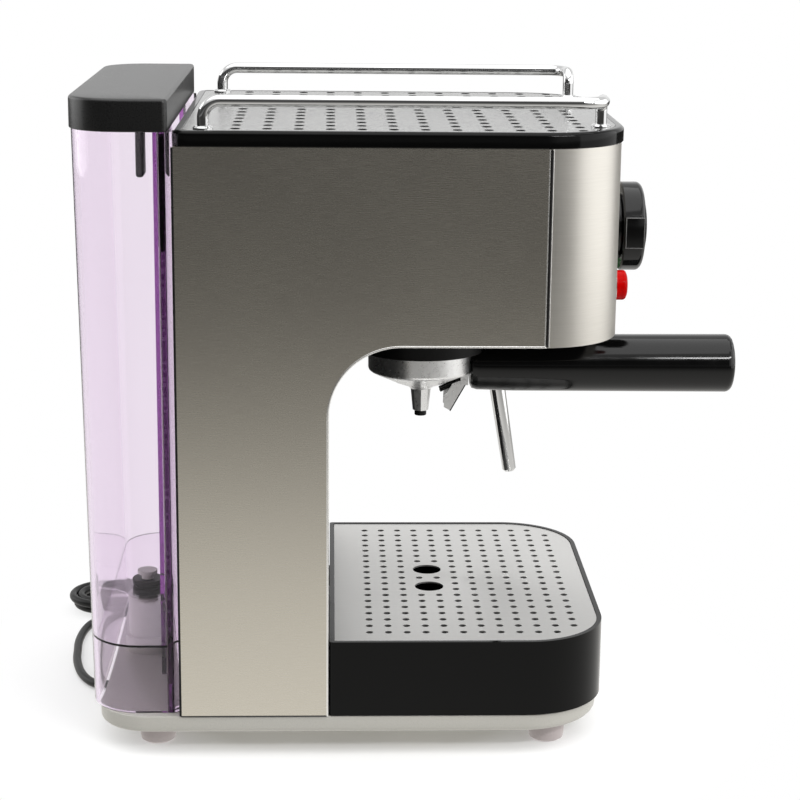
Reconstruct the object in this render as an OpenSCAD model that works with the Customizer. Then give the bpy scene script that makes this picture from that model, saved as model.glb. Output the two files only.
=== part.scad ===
// Pump espresso machine: steel body with an overhanging brew head, rear water tank, sliding drip tray.
// Millimetres. +Z up, the front faces -Y, the origin is on the counter, midway between the four feet.

/* [Body] */
// Width over the two side panels
body_w = 223; // [219:0.5:227]
// How far the front panel lies ahead of the origin
front_reach = 144; // [142:0.5:146]
// How far the side panels reach behind the origin
rear_reach = 95; // [94:0.5:95.5]
// Radius of the front corners in plan
corner_r = 45; // [42:1:46]
// Height of the body's top edge above the counter
body_top = 338; // [334:1:342]
// Height of the underside of the brew head
head_z = 232; // [231:0.5:233]
// Radius of the curve between the column and the brew head
arc_r = 39; // [32:1:42]
// Front face of the column
column_y = 15; // [14:0.5:17]
// Thickness of the steel sheet
sheet = 1.2; // [1:0.1:1.5]

/* [Base and feet] */
// Gap under the base plate
base_z = 13; // [12:0.5:14]
// Thickness of the base plate
base_t = 10; // [9:0.5:11]
// Diameter of a foot
foot_d = 20.5; // [18:0.5:24]

/* [Top] */
// Height of the black rim
cap_h = 8.4; // [8:0.1:9]
// Distance between neighbouring holes of the cup plate
cup_pitch = 16.6; // [16:0.1:17]
// Diameter of the cup plate's holes
cup_hole_d = 4.8; // [4:0.1:6]
// Diameter of the rail tube
rail_d = 6.3; // [5.5:0.1:7]
// Height of the rail's centre line above the cup plate
rail_rise = 14.6; // [13:0.1:17]

/* [Tray] */
// Height of the grille's top face
grille_z = 66; // [65:0.5:67]
// Distance between neighbouring grille holes
grille_pitch = 10.5; // [10.2:0.1:10.6]
// Diameter of a grille hole
grille_hole_d = 4; // [3:0.1:5]

/* [Brew group] */
// Distance of the group's axis ahead of the origin
group_reach = 40; // [39:0.5:41]
// Radius of the portafilter's ring
ring_r = 31; // [30.8:0.1:31.2]
// Radius of the portafilter's handle
handle_r = 17; // [15:0.5:17.2]
// How far the handle reaches ahead of the origin
handle_reach = 224; // [210:1:235]

/* [Tank] */
// Height of the tank's open rim
tank_top = 345; // [343:0.5:345.5]
// Underside of the tank's floor
tank_floor_z = 61; // [58:0.5:64]
// How far the tank's rim reaches behind the origin
tank_reach = 150.5; // [149:0.5:152]
// Thickness of the tank wall
tank_wall = 2.5; // [2:0.1:3]

/* [Mains cord] */
// Diameter of the cord
cord_d = 5.2; // [5:0.1:5.4]

/* [Hidden] */

eps = 0.01;
half_w = body_w / 2;
front_y = -front_reach;
rear_y = rear_reach;
base_top = base_z + base_t;
cap_top = body_top + cap_h;
base_rear_y = 142;
seam_y = front_y + 42;              // front edge of the flat side panels
hem = 6;                            // folded edge of a sheet panel
seam_gap = 0.3;                     // between the front panel and the side panels
fine = 96;                          // facets of a true circle as drawn
soft = 32;                          // facets of a rounded corner inside a hull

// Tray
tray_front_y = front_y + 2;
tray_back_y = column_y - 1.6;
tray_wall = 2.6;
grille_t = 1;
grille_cols = 12;
grille_rows = 19;
grille_first_y = -9;
finger_hole_r = 8.5;

// Brew group, heights from the counter
group_y = -group_reach;
ring_top = 207;
collar_z = ring_top + 0.8;
collar_r = 37;
filter_top = 215.4;
lug_z = 211.2;
lug_t = 3;
lug_r = 34.2;
spout_z = 183.5;
spout_tip_z = 167.5;
handle_z = 199;
boiler_r = 40;
boiler_split = 268;
boiler_top_z = 292;

// Basket clip
clip_y = -65.4;
clip_z = 189.6;
clip_pin_r = 1.2;
clip_tilt = 29;

// Front controls
dial_z = 280.4;
dial_r = 25.5;
dial_back = front_y - 9.5;
dial_front = front_y - 25.3;
shaft_r = 4;
button_x = 45;
button_z = 254;
button_r = 8.4;
button_front = front_y - 9.5;

// Steam side
wand_x = 90;
wand_y = -80.5;
wand_tilt = 9.3;
ball_z = 229;
steam_y = -80;
steam_z = 262;
steam_shaft_r = 3;

// Tank and what it stands on
tank_front = rear_y + 1;
valve_y = 122;
valve_lift = 3.2;                   // the plunger is held open by the seat's pin
seat_top = 56;
channel_x = 45;                     // half width of the hose channel in the tank's front wall
channel_y = 108;
hose_x = -25;
hose_y = 103;
lid_z = tank_top + 0.3;
lid_top = 363;

// Pump
pump_x = -50;
pump_y = 52;

// Cord
cord_r = cord_d / 2;
relief_x = -16;
relief_y = 112;
relief_len = 24;
relief_z = 6;
hank_x = 138;
hank_y = 138;
hank_run = 50;                      // straight part of a run
fold_r = 16;                        // centre line of the inner fold
hank_r = fold_r + 1.5 * cord_d + 0.3;
hank_h = 2 * cord_d + 0.2;
plug_x = 137;
plug_y = 34;
plug_r = 18;
plug_z = plug_r;
cord_points = [
  [relief_x, relief_y + relief_len, relief_z], [-15.6, 143, 4.8], [-13.5, 150, 3.5], [-8, 156, 2.8],
  [0, 161, 2.7], [10, 165, 2.7], [22, 168, 2.7], [34, 170, 2.7], [46, 171, 2.7], [58, 172, 2.7],
  [70, 172, 2.7], [82, 171, 2.7], [93, 168.5, 2.7], [102, 164, 2.7], [109, 157.5, 2.7],
  [113.6, 150, 2.7], [116, 143, 2.7]
];
lead_points = [
  [116.5, 106, 7.9], [116.5, 97, 7], [116.5, 88, 5.6], [117.5, 79, 4.4], [120, 70, 4], [124, 61, 5],
  [129, 52, 8], [133.4, 44.5, 12.5], [136, 39.5, 16.4], [plug_x, plug_y, plug_z]
];

// ---------- helpers ----------

// Plan outline with one radius at the front corners and another at the rear ones.
module plan(x, front, rear, r_front, r_rear) {
  intersection() {
    union() {
      translate([-x, front + r_front]) square([2 * x, rear - front - r_front - r_rear]);
      translate([-x + r_front, front]) square([2 * (x - r_front), r_front + eps]);
      translate([-x + r_rear, rear - r_rear - eps]) square([2 * (x - r_rear), r_rear + eps]);
      for (s = [-1, 1]) {
        translate([s * (x - r_front), front + r_front]) circle(r = r_front, $fn = fine);
        translate([s * (x - r_rear), rear - r_rear]) circle(r = r_rear, $fn = fine);
      }
    }
    translate([-x, front]) square([2 * x, rear - front]);
  }
}

// Four corner posts for a hull: plan size, corner radii and height.
module posts(x, front, rear, r_front, r_rear, z, h) {
  for (s = [-1, 1]) {
    translate([s * (x - r_front), front + r_front, z]) cylinder(r = r_front, h = h, $fn = soft);
    translate([s * (x - r_rear), rear - r_rear, z]) cylinder(r = r_rear, h = h, $fn = soft);
  }
}

// A cylinder along Y, from y to y + h.
module rod_y(r, y, h, r2 = -1) {
  translate([0, y, 0]) rotate([-90, 0, 0]) cylinder(r1 = r, r2 = r2 < 0 ? r : r2, h = h, $fn = fine);
}

// A cylinder along X, from x to x + h.
module rod_x(r, x, h, r2 = -1) {
  translate([x, 0, 0]) rotate([0, 90, 0]) cylinder(r1 = r, r2 = r2 < 0 ? r : r2, h = h, $fn = fine);
}

// A bent piece of round bar in the plane X-Y, from angle 0 to a, about the origin.
module bend(bar_r, r, a) {
  rotate_extrude(angle = a, $fn = fine) translate([r, 0]) circle(r = bar_r, $fn = soft);
}

// Smooth route through given points, and a round tube swept along it.
function spline(p, i, t) =
  let (a = p[max(i - 1, 0)], b = p[i], c = p[i + 1], d = p[min(i + 2, len(p) - 1)])
  0.5 * (2 * b + (c - a) * t + (2 * a - 5 * b + 4 * c - d) * t * t + (3 * b - a - 3 * c + d) * t * t * t);
function route(p, steps) = [
  for (i = [0 : len(p) - 2], k = [0 : steps - 1]) spline(p, i, k / steps), p[len(p) - 1]
];
function unit(v) = v / norm(v);
function heading(q, i) = unit(q[min(i + 1, len(q) - 1)] - q[max(i - 1, 0)]);
function carry(q, i, n) = let (t = heading(q, i)) unit(n - (n * t) * t);
function normals(q, i, n) = i == len(q) ? [] : let (m = carry(q, i, n)) concat([m], normals(q, i + 1, m));

module tube(points, r, steps = 2, sides = 8, up = [0, 0, 1]) {
  q = route(points, steps);
  ns = normals(q, 0, up);
  rings = [
    for (i = [0 : len(q) - 1], k = [0 : sides - 1])
      let (t = heading(q, i), b = cross(t, ns[i]), a = 360 * k / sides)
      q[i] + r * (cos(a) * ns[i] + sin(a) * b)
  ];
  last = (len(q) - 1) * sides;
  walls = [
    for (i = [0 : len(q) - 2], k = [0 : sides - 1])
      let (a = i * sides + k, b = i * sides + (k + 1) % sides)
      [a, a + sides, b + sides, b]
  ];
  polyhedron(
    rings,
    concat([[for (k = [0 : sides - 1]) k]], walls, [[for (k = [sides - 1 : -1 : 0]) last + k]]),
    convexity = 4
  );
}

// ---------- base and body ----------

module base_plate() {
  wall = 3;
  color("silver") difference() {
    hull() {
      posts(half_w - 3.5, tray_front_y + 5.5, base_rear_y - 3, corner_r - 3, 26, base_z, eps);
      posts(half_w - 0.5, tray_front_y + 2.5, base_rear_y, corner_r, 28, base_z + 3.5, base_t - 3.5);
    }
    translate([0, 0, base_z - 1]) linear_extrude(base_t - wall + 1) difference() {
      plan(half_w - 7, tray_front_y + 9, base_rear_y - 6.5, corner_r - 6, 22);
      for (x = [-86, 86], y = [-110, 110]) translate([x, y]) circle(r = foot_d / 2 + 2, $fn = fine);
      for (x = [-60, 60]) translate([x - 1.5, -120]) square([3, 240]);
      translate([-100, -1.5]) square([200, 3]);
    }
    for (x = [-86, 86], y = [-110, 110])
      translate([x, y, base_z - 1]) cylinder(r = 3.1, h = 7, $fn = fine);
  }
}

module feet() {
  color([0.80, 0.80, 0.78]) for (x = [-86, 86], y = [-110, 110]) translate([x, y, 0]) difference() {
    rotate_extrude($fn = fine) polygon([
      [0, 0], [foot_d / 2 - 2.2, 0], [foot_d / 2 - 0.6, 1.2], [foot_d / 2 - 0.2, 4],
      [foot_d / 2, base_z], [3, base_z], [3, base_z + 5.5], [0, base_z + 5.5]
    ]);
    translate([0, 0, -1]) cylinder(r = 2.6, h = 4.5, $fn = fine);
  }
}

// Side view of the machine's flank, shrunk by d all round: x is Y of the machine, y is Z.
module flank(d) {
  r = arc_r + d;
  difference() {
    translate([seam_y + d, base_top + d]) square([rear_y - seam_y - 2 * d, body_top - base_top - 2 * d]);
    difference() {
      translate([seam_y - 1, base_top - 1]) square([column_y + d - seam_y + 1, head_z + d - base_top + 1]);
      translate([column_y - arc_r, head_z - arc_r]) difference() {
        square([r + 1, r + 1]);
        circle(r = r, $fn = fine);
      }
    }
  }
}

module side_panel(inner_hem = hem) {
  rotate([90, 0, 90]) linear_extrude(sheet) flank(0);
  rotate([90, 0, 90]) translate([0, 0, -inner_hem]) linear_extrude(inner_hem + eps) difference() {
    flank(0);
    flank(sheet);
  }
}

module side_panel_left() {
  color([0.72, 0.71, 0.67]) mirror([1, 0, 0]) translate([half_w - sheet, 0, 0]) side_panel();
}

module side_panel_right() {
  color([0.72, 0.71, 0.67]) difference() {
    translate([half_w - sheet, 0, 0]) side_panel();
    translate([0, steam_y, steam_z]) rod_x(5, half_w - 3, 6);
  }
}

// Front corners and front face of the brew head, in plan, set in by d and reaching to y.
module head_front(d, y) {
  intersection() {
    plan(half_w - d, front_y + d, rear_y, corner_r - d, 1);
    translate([-half_w, front_y]) square([body_w, y - front_y]);
  }
}

module front_panel() {
  color([0.86, 0.85, 0.80]) difference() {
    union() {
      translate([0, 0, head_z]) linear_extrude(body_top - head_z) difference() {
        head_front(0, seam_y - seam_gap);
        head_front(sheet, seam_y + 1);
      }
      translate([0, 0, head_z]) linear_extrude(sheet) difference() {
        head_front(0, seam_y - seam_gap);
        head_front(hem, seam_y + 1);
      }
    }
    translate([0, 0, dial_z]) rod_y(6, front_y - 1, 4);
    for (s = [-1, 1]) translate([s * button_x, 0, button_z]) rod_y(9.7, front_y - 1, 4);
  }
}

module column_front() {
  inner_x = half_w - sheet - 0.3;
  color([0.09, 0.09, 0.09]) difference() {
    rotate([90, 0, 90]) translate([0, 0, -inner_x]) linear_extrude(2 * inner_x) union() {
      translate([column_y + 1.4, base_top + 1.4]) square([2.2, head_z - arc_r - base_top - 1.4]);
      intersection() {
        translate([column_y - arc_r, head_z - arc_r]) square(arc_r + 4);
        translate([column_y - arc_r, head_z - arc_r]) difference() {
          circle(r = arc_r + 3.6, $fn = fine);
          circle(r = arc_r + 1.4, $fn = fine);
        }
      }
    }
    translate([0, group_y, collar_z]) cylinder(r = collar_r + 0.3, h = 40, $fn = fine);
    translate([0, group_y, head_z - 0.4]) cylinder(r = boiler_r + 0.3, h = 20, $fn = fine);
  }
}

module head_underside() {
  inner_x = half_w - sheet - hem - 0.3;
  color([0.09, 0.09, 0.09]) difference() {
    union() {
      translate([0, 0, head_z + 1.4]) linear_extrude(2.2) difference() {
        plan(inner_x, front_y + sheet + 0.3, column_y - arc_r - 0.2, corner_r - hem, 0.5);
        translate([0, group_y]) circle(r = boiler_r + 1, $fn = fine);
        translate([wand_x, wand_y]) circle(r = 8, $fn = fine);
      }
      translate([wand_x, wand_y, head_z - 2]) cylinder(r = 11, h = 3.5, $fn = fine);
    }
    translate([wand_x, wand_y, head_z - 3]) cylinder(r = 6.5, h = 8, $fn = fine);
  }
}

module rear_cover() {
  inner_x = half_w - sheet - 0.3;
  color([0.20, 0.20, 0.21]) difference() {
    translate([-inner_x, rear_y - 4.5, base_top + sheet])
      cube([2 * inner_x, 2, body_top - base_top - 2 * sheet]);
    translate([0, 0, 36]) rod_y(5, rear_y - 6, 5);
    translate([hose_x, 0, 44]) rod_y(3.4, rear_y - 6, 5);
    for (k = [0 : 5]) translate([40, rear_y - 6, 290 + 6 * k]) cube([50, 5, 2.4]);
  }
}

// ---------- inside the body ----------

module inner_frame() {
  w = 96;
  color("lightsteelblue") difference() {
    union() {
      translate([-w, 84, base_top]) cube([2 * w, 1.5, 306]);
      translate([-w, -118, 327.5]) cube([2 * w, 203.5, 1.5]);
      for (s = [-1, 1]) translate([s * 60 - 1, group_y - 12, boiler_split + 4]) cube([2, 24, 55.5]);
      for (s = [-1, 1]) translate([s * 52 - 9, group_y - 12, boiler_split + 4]) cube([18, 24, 1.5]);
      for (s = [-1, 1]) translate([s * 108 - 1, 40, base_top + sheet]) cube([2, 43, 300]);
      for (s = [-1, 1]) translate([min(s * 95, s * 109), 82, base_top + sheet]) cube([14, 2, 300]);
    }
    translate([0, 0, 36]) rod_y(6, 80, 8);
    translate([hose_x, 0, 44]) rod_y(5, 80, 8);
    for (s = [-1, 1])
      translate([s * 60, 0, 200]) rod_y(20, 83, 4);
  }
}

module group_head() {
  color([0.74, 0.75, 0.76]) translate([0, group_y, 0]) rotate_extrude($fn = fine) difference() {
    union() {
      translate([0, 222.2]) square([32.6, 14]);
      translate([0, 234]) square([boiler_r, 34]);
      translate([0, boiler_split - 4]) square([boiler_r + 7, 4]);
    }
    translate([0, 242]) square([34, 30]);
    translate([1.1, 236]) square([1.4, 8]);
    square([2.1, 233]);
  }
}

module boiler_top() {
  color([0.70, 0.71, 0.72]) translate([0, group_y, 0]) difference() {
    rotate_extrude($fn = fine) difference() {
      union() {
        translate([0, boiler_split]) square([boiler_r + 7, 4]);
        translate([0, boiler_split + 4]) square([boiler_r, boiler_top_z - boiler_split - 4]);
      }
      translate([0, boiler_split - 1]) square([34, boiler_top_z - boiler_split - 5]);
    }
    for (s = [-1, 1]) translate([s * 24, 0, boiler_split]) cylinder(r = 4.2, h = 40, $fn = soft);
    for (a = [30 : 60 : 330]) rotate(a) translate([boiler_r + 3.4, 0, boiler_split - 1])
      cylinder(r = 1.9, h = 8, $fn = soft);
  }
}

module boiler_bolts() {
  color("dimgray") translate([0, group_y, 0]) for (a = [30 : 60 : 330])
    rotate(a) translate([boiler_r + 3.4, 0, boiler_split]) {
      cylinder(r = 1.8, h = 4, $fn = soft);
      translate([0, 0, 4]) cylinder(r = 3.2, h = 3, $fn = 6);
    }
}

module heating_element() {
  color([0.45, 0.40, 0.36]) translate([0, group_y, 0]) {
    rotate_extrude($fn = fine) translate([24, 256]) circle(r = 3.6, $fn = soft);
    for (s = [-1, 1]) translate([s * 24, 0, 256]) cylinder(r = 3.4, h = 46, $fn = soft);
  }
}

module thermostats() {
  color([0.85, 0.83, 0.76]) for (p = [[0, 0], [0, 22], [0, -22]])
    translate([p[0], group_y + p[1], boiler_top_z]) {
      cylinder(r = 8, h = 9, $fn = fine);
      for (s = [-1, 1]) translate([s * 4 - 3, -0.4, 9]) cube([6, 0.8, 7]);
    }
}

module group_collar() {
  color([0.07, 0.07, 0.07]) translate([0, group_y, 0]) difference() {
    rotate_extrude($fn = fine) difference() {
      translate([0, collar_z]) square([collar_r, head_z - 1 - collar_z]);
      translate([0, collar_z - 1]) square([ring_r + 0.4, 40]);
      translate([0, collar_z + 2.8]) square([lug_r + 0.6, 40]);
    }
    for (a = [90, 270]) rotate(a) translate([0, -9, collar_z - 1]) cube([lug_r + 0.6, 18, 6]);
  }
}

module group_gasket() {
  color([0.16, 0.16, 0.17]) translate([0, group_y, 0]) rotate_extrude($fn = fine)
    translate([26, filter_top + 1]) square([6.6, 222.2 - filter_top - 1]);
}

module shower_screen() {
  color("silver") translate([0, group_y, 218.4]) linear_extrude(0.8) difference() {
    circle(r = 25.4, $fn = fine);
    circle(r = 2.6, $fn = soft);
    for (k = [1 : 4], a = [0 : 360 / (6 * k) : 359])
      rotate(a) translate([5.4 * k, 0]) circle(r = 0.8, $fn = 16);
  }
}

module screen_screw() {
  color("silver") translate([0, group_y, 0]) {
    translate([0, 0, 216.6]) cylinder(r = 4.4, h = 1.8, $fn = fine);
    translate([0, 0, 218.4]) cylinder(r = 2, h = 12, $fn = fine);
  }
}

module pump() {
  color([0.66, 0.67, 0.70]) translate([pump_x, pump_y, 0]) {
    translate([0, 0, 70]) cylinder(r = 13, h = 22, $fn = fine);
    translate([0, 0, 62]) cylinder(r = 3.4, h = 8, $fn = fine);
    translate([-20, -19, 92]) cube([40, 38, 44]);
    translate([0, 0, 136]) cylinder(r = 11, h = 26, $fn = fine);
    translate([0, 0, 162]) cylinder(r = 4.4, h = 12, $fn = fine);
  }
}

module pump_mounts() {
  color([0.13, 0.13, 0.13]) for (z = [96, 122])
    translate([pump_x, pump_y, z]) rod_y(6, 19, 84 - pump_y - 19);
}

module suction_hose() {
  color([0.85, 0.86, 0.84, 0.8]) tube([
    [0, 84, 36], [0, 76, 36], [-4, 66, 37], [-16, 57, 38], [-34, 52, 40], [-46, 52, 45],
    [pump_x, pump_y, 54], [pump_x, pump_y, 62]
  ], 3.4, 3);
}

module pressure_hose() {
  color([0.88, 0.88, 0.86, 0.8]) tube([
    [pump_x, pump_y, 174], [pump_x, pump_y, 190], [-48, 48, 214], [-38, 30, 250], [-22, 14, 290],
    [-10, 2, 306], [-4, -6, 312], [6, -12, 308], [15, -24, 300], [15, -26, boiler_top_z]
  ], 2.6, 3);
}

module tank_seat() {
  color([0.64, 0.63, 0.60]) difference() {
    union() {
      translate([0, valve_y, base_top]) cylinder(r = 15, h = 9, $fn = fine);
      translate([0, valve_y, base_top + 9]) cylinder(r = 12.5, h = seat_top - base_top - 9, $fn = fine);
      translate([0, 0, 36]) rod_y(4.4, 84, valve_y - 84 - 12);
    }
    translate([0, valve_y, 42]) cylinder(r = 10, h = 20, $fn = fine);
    translate([0, valve_y, 30]) cylinder(r = 2, h = 20, $fn = fine);
  }
  color([0.64, 0.63, 0.60]) translate([0, valve_y, 42]) cylinder(r = 1.6, h = 8, $fn = soft);
}

module steam_valve() {
  color([0.76, 0.66, 0.36]) difference() {
    union() {
      translate([wand_x - 13, wand_y - 9, 238]) cube([24, 24, 34]);
      translate([0, steam_y, steam_z]) rod_x(8, wand_x + 11, 5);
      translate([wand_x - 30, steam_y, 250]) rotate([0, 90, 0]) cylinder(r = 3, h = 17, $fn = fine);
    }
    translate([wand_x, wand_y, 236]) sphere(r = 7.2, $fn = 48);
    translate([0, steam_y, steam_z]) rod_x(steam_shaft_r + 0.05, wand_x, 20);
  }
}

module selector_switch() {
  color([0.75, 0.75, 0.72]) difference() {
    translate([-20, front_y + 4, dial_z - 20]) cube([40, 28, 40]);
    translate([0, 0, dial_z]) rod_y(shaft_r + 0.05, front_y, 20);
  }
}

module power_switch() {
  color([0.14, 0.14, 0.14]) translate([-button_x - 10, front_y + 14, button_z - 10]) cube([20, 24, 20]);
}

// ---------- top ----------

module top_cap() {
  margin = 4.6;
  over = 1;
  color([0.05, 0.05, 0.05]) difference() {
    translate([0, 0, body_top]) linear_extrude(cap_h)
      plan(half_w + over, front_y - over, rear_y, corner_r + over, 8);
    translate([0, 0, cap_top - 1.1]) linear_extrude(2)
      plan(half_w + over - margin, front_y - over + margin, rear_y - margin, corner_r + over - margin, 5);
    translate([0, 0, body_top - 1]) linear_extrude(cap_h)
      plan(half_w + over - margin - 4, front_y - over + margin + 4, rear_y - margin - 4, corner_r - 8, 3);
  }
}

module cup_plate() {
  margin = 4.8;
  over = 1;
  color([0.78, 0.78, 0.80]) translate([0, 0, cap_top - 1.1]) linear_extrude(1) difference() {
    plan(half_w + over - margin, front_y - over + margin, rear_y - margin, corner_r + over - margin, 5);
    for (i = [0 : 12], j = [0 : 11])
      translate([(i - 6) * cup_pitch, 63 - j * cup_pitch]) circle(r = cup_hole_d / 2, $fn = 24);
  }
}

rail_x = 6 * cup_pitch + 1.4;
rail_z = cap_top - 0.1 + rail_rise;
rail_rear_y = 63 + cup_pitch;
rail_front_y = front_y + 13;
rail_bend = 9;
rail_turn = 12;
post_in = 21;

// One rail: rear post, long run, a turn inwards round the front corner, front post.
module rail() {
  r = rail_d / 2;
  foot_z = cap_top - 0.1;
  drop = rail_rise - rail_bend;
  tight = 6;
  translate([rail_x, rail_rear_y, foot_z]) cylinder(r = r, h = drop, $fn = soft);
  translate([rail_x, rail_rear_y - rail_bend, rail_z - rail_bend]) rotate([0, -90, 180])
    rotate([0, 0, -90]) bend(r, rail_bend, 90);
  translate([rail_x, 0, rail_z])
    rod_y(r, rail_front_y + rail_turn, rail_rear_y - rail_bend - rail_front_y - rail_turn);
  translate([rail_x - rail_turn, rail_front_y + rail_turn, rail_z])
    rotate([0, 0, -90]) bend(r, rail_turn, 90);
  translate([0, rail_front_y, rail_z])
    rod_x(r, rail_x - post_in + tight, post_in - tight - rail_turn);
  translate([rail_x - post_in + tight, rail_front_y, rail_z - tight]) rotate([90, 0, 0])
    rotate([0, 0, 90]) bend(r, tight, 90);
  translate([rail_x - post_in, rail_front_y, foot_z]) cylinder(r = r, h = rail_rise - tight, $fn = soft);
}

module rail_left() {
  color([0.85, 0.85, 0.86]) mirror([1, 0, 0]) rail();
}

module rail_right() {
  color([0.85, 0.85, 0.86]) rail();
}

module rail_flanges() {
  color([0.85, 0.85, 0.86]) for (s = [-1, 1], p = [[rail_x, rail_rear_y], [rail_x - post_in, rail_front_y]])
    translate([s * p[0], p[1], cap_top - 0.1]) rotate_extrude($fn = fine)
      polygon([[rail_d / 2, 0], [5.4, 0], [5.4, 0.7], [4.4, 1.5], [rail_d / 2, 1.8]]);
}

module base_screws() {
  color("dimgray") for (x = [-75, 0, 75], y = [-60, 60]) translate([x, y, base_top - 3]) {
    translate([0, 0, -2.2]) cylinder(r = 3.6, h = 2.2, $fn = fine);
  }
}

// ---------- front controls ----------

module dial_boss() {
  color([0.06, 0.06, 0.06]) difference() {
    union() {
      translate([0, 0, dial_z]) rod_y(19, front_y - 9, 9);
      translate([0, 0, dial_z]) rod_y(5.9, front_y, 3.9);
    }
    translate([0, 0, dial_z]) rod_y(shaft_r + 0.05, front_y - 10, 20);
  }
}

module selector_knob() {
  depth = dial_back - dial_front;
  color([0.05, 0.05, 0.05]) translate([0, dial_back, dial_z]) rotate([90, 0, 0]) union() {
    rotate_extrude($fn = fine) polygon(concat(
      [[0, 0], [dial_r, 0], [dial_r, depth - 6.5]],
      [for (a = [10 : 10 : 80]) [dial_r - 5 + 5 * cos(a), depth - 6.5 + 3.6 * sin(a)]],
      [[dial_r - 6, depth - 2.8], [14, depth - 0.9], [7, depth - 0.2], [0, depth]]
    ));
    for (s = [-1, 1]) translate([s > 0 ? dial_r - 3 : -dial_r - 2, -9.2, 0.2]) cube([5, 18.4, 11.5]);
    translate([0, 0, dial_back - front_y - 18])
      cylinder(r = shaft_r, h = front_y - dial_back + 18.5, $fn = fine);
  }
}

module button_bezels() {
  color([0.80, 0.80, 0.82]) for (s = [-1, 1]) translate([s * button_x, 0, button_z]) difference() {
    union() {
      rod_y(10.8, front_y - 2.2, 2.2);
      rod_y(9.6, front_y, 6);
    }
    rod_y(button_r + 0.08, front_y - 3, 10);
  }
}

// A push cap: straight barrel with a softly rounded front, from its back to its front face.
module push_cap(back) {
  rotate([90, 0, 0]) rotate_extrude($fn = fine) polygon(concat(
    [[0, -back], [button_r, -back], [button_r, -button_front - 3]],
    [for (a = [15 : 15 : 75]) [button_r - 2 + 2 * cos(a), -button_front - 3 + 2 * sin(a)]],
    [[button_r - 2.4, -button_front - 0.7], [0, -button_front]]
  ));
}

module power_button() {
  color([0.80, 0.02, 0.02]) translate([-button_x, 0, button_z]) push_cap(front_y + 10.6);
}

module ready_lamp() {
  color([0.16, 0.55, 0.20]) translate([button_x, 0, button_z]) push_cap(front_y + 10.6);
}

// ---------- portafilter ----------

module portafilter() {
  color([0.78, 0.79, 0.80]) difference() {
    for (s = [-1, 1]) translate([s * 7.6 - 1, clip_y - 2, clip_z - 2.4]) cube([2, 4.4, 8]);
    translate([0, clip_y, clip_z]) rod_x(clip_pin_r + 0.05, -10, 20);
    translate([0, group_y, ring_top - 11]) cylinder(r = 29, h = 20, $fn = fine);
  }
  color([0.78, 0.79, 0.80]) translate([0, group_y, 0]) union() {
    difference() {
      rotate_extrude($fn = fine) polygon([
        [0, spout_z], [6, spout_z], [8, 185.2], [15.5, 188], [16.5, 188.6], [29.6, 194.6], [30.6, 195.4],
        [ring_r, 196.4], [ring_r, ring_top], [ring_r - 0.9, ring_top + 0.5], [30.4, ring_top + 0.6],
        [30.4, filter_top], [28.4, filter_top], [28.4, 196.2], [15, 190.6], [0, 190.6]
      ]);
      translate([0, 0, spout_z - 1]) cylinder(r = 3, h = 12, $fn = fine);
    }
    for (a = [-45, 135]) rotate(a) translate([0, 0, lug_z]) linear_extrude(lug_t) difference() {
      intersection() {
        circle(r = lug_r, $fn = fine);
        translate([20, -8.2]) square([20, 16.4]);
      }
      circle(r = 29.6, $fn = fine);
    }
    translate([0, 0, handle_z]) rod_y(7, -ring_r - 6, 7);
  }
}

module filter_basket() {
  color([0.82, 0.82, 0.83]) translate([0, group_y, 0]) difference() {
    rotate_extrude($fn = fine) polygon([
      [0, 197.4], [24, 197.4], [27, 199.2], [27.8, 202], [27.8, filter_top], [30.4, filter_top],
      [30.4, filter_top + 0.7], [27.2, filter_top + 0.7], [27.2, 202.2], [26.5, 199.8], [23.8, 198.1],
      [0, 198.1]
    ]);
    for (k = [1 : 3], a = [0 : 360 / (6 * k) : 359])
      rotate(a) translate([6.5 * k, 0, 197]) cylinder(r = 0.5, h = 2, $fn = 16);
  }
}

module coffee_spout() {
  length = spout_z - 170.5;
  color([0.80, 0.81, 0.82]) translate([0, group_y, 0]) difference() {
    union() {
      translate([0, 0, 170.5]) cylinder(r1 = 4.6, r2 = 5.9, h = length, $fn = 8);
      translate([0, 0, spout_tip_z]) cylinder(r = 3.1, h = 3.2, $fn = fine);
    }
    translate([0, 0, spout_tip_z - 1]) cylinder(r = 2.2, h = 20, $fn = fine);
  }
}

module handle_grip() {
  tip = -handle_reach;
  root = group_y - ring_r + 2.4;
  color([0.05, 0.05, 0.05]) difference() {
    translate([0, 0, handle_z]) rotate([90, 0, 0]) rotate_extrude($fn = fine) polygon(concat(
      [[7.1, -root], [13, -root], [15, -root + 1], [15.9, -root + 4], [handle_r - 0.4, -root + 26]],
      [[handle_r, -tip - 5]],
      [for (a = [15 : 15 : 75]) [handle_r - 4 + 4 * cos(a), -tip - 5 + 4 * sin(a)]],
      [[handle_r - 5, -tip - 0.6], [0, -tip], [0, -root + 9.4], [7.1, -root + 9.4]]
    ));
    translate([0, group_y, ring_top + 0.4]) cylinder(r = collar_r + 0.6, h = 20, $fn = fine);
    translate([0, group_y, 0]) rotate_extrude($fn = fine) polygon([
      [0, 180], [17, 187.4], [30.4, 193.6], [ring_r + 0.4, 196],
      [ring_r + 0.4, ring_top + 1], [0, ring_top + 1]
    ]);
  }
}

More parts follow.
